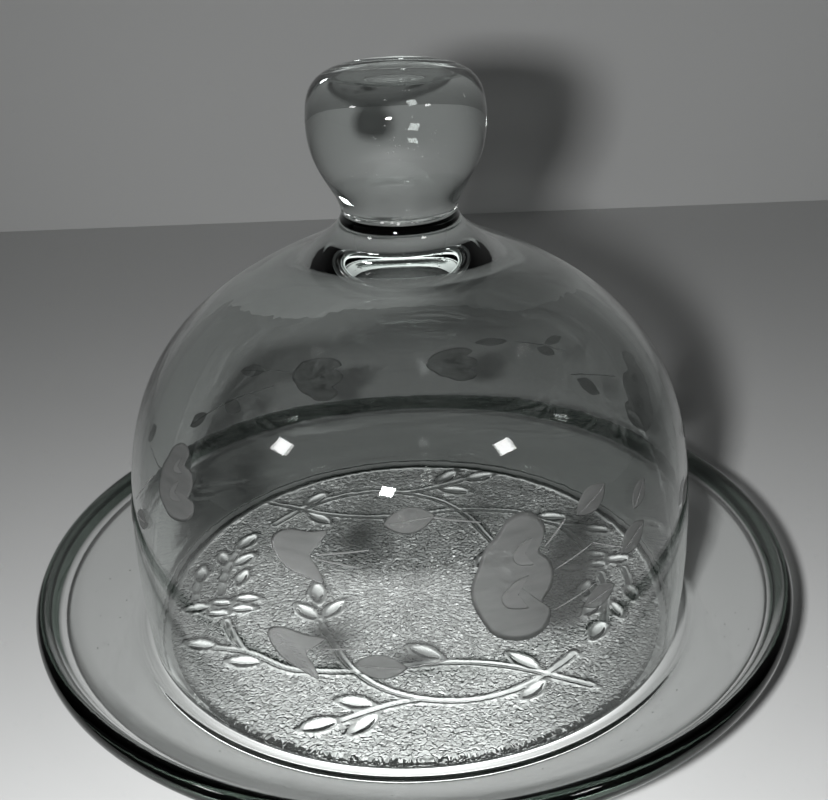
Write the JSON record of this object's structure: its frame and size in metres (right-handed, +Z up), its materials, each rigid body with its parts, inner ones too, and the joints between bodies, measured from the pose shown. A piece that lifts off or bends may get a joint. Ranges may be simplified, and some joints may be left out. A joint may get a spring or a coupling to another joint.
{
  "type": "glass cheese dome with plate",
  "caption": "Blown clear glass bell with a solid round knob, resting in the seat ring of a pressed glass plate with a moulded vine under its floor.",
  "frame": {"origin": "centre of the plate's foot ring, on the surface the plate stands on", "axes": "+Z up along the axis of the bell and the knob; X and Y are level, and the vine's two halves are each other turned 180 degrees about Z"},
  "size_m": [0.25, 0.25, 0.183],
  "materials": {
    "pressed_glass": "polished, faint green in thick edges",
    "blown_glass": "fire polished, with matte engraved sprays"
  },
  "bodies": {
    "plate": {"plate": "pressed_glass"},
    "lid": {"dome_bell": "blown_glass", "knob": "blown_glass"}
  },
  "joints": [
    {"name": "dome_lift", "type": "slide", "parent": "plate", "child": "lid", "axis": [0, 0, 1], "range_m": [0, 0.25]}
  ]
}
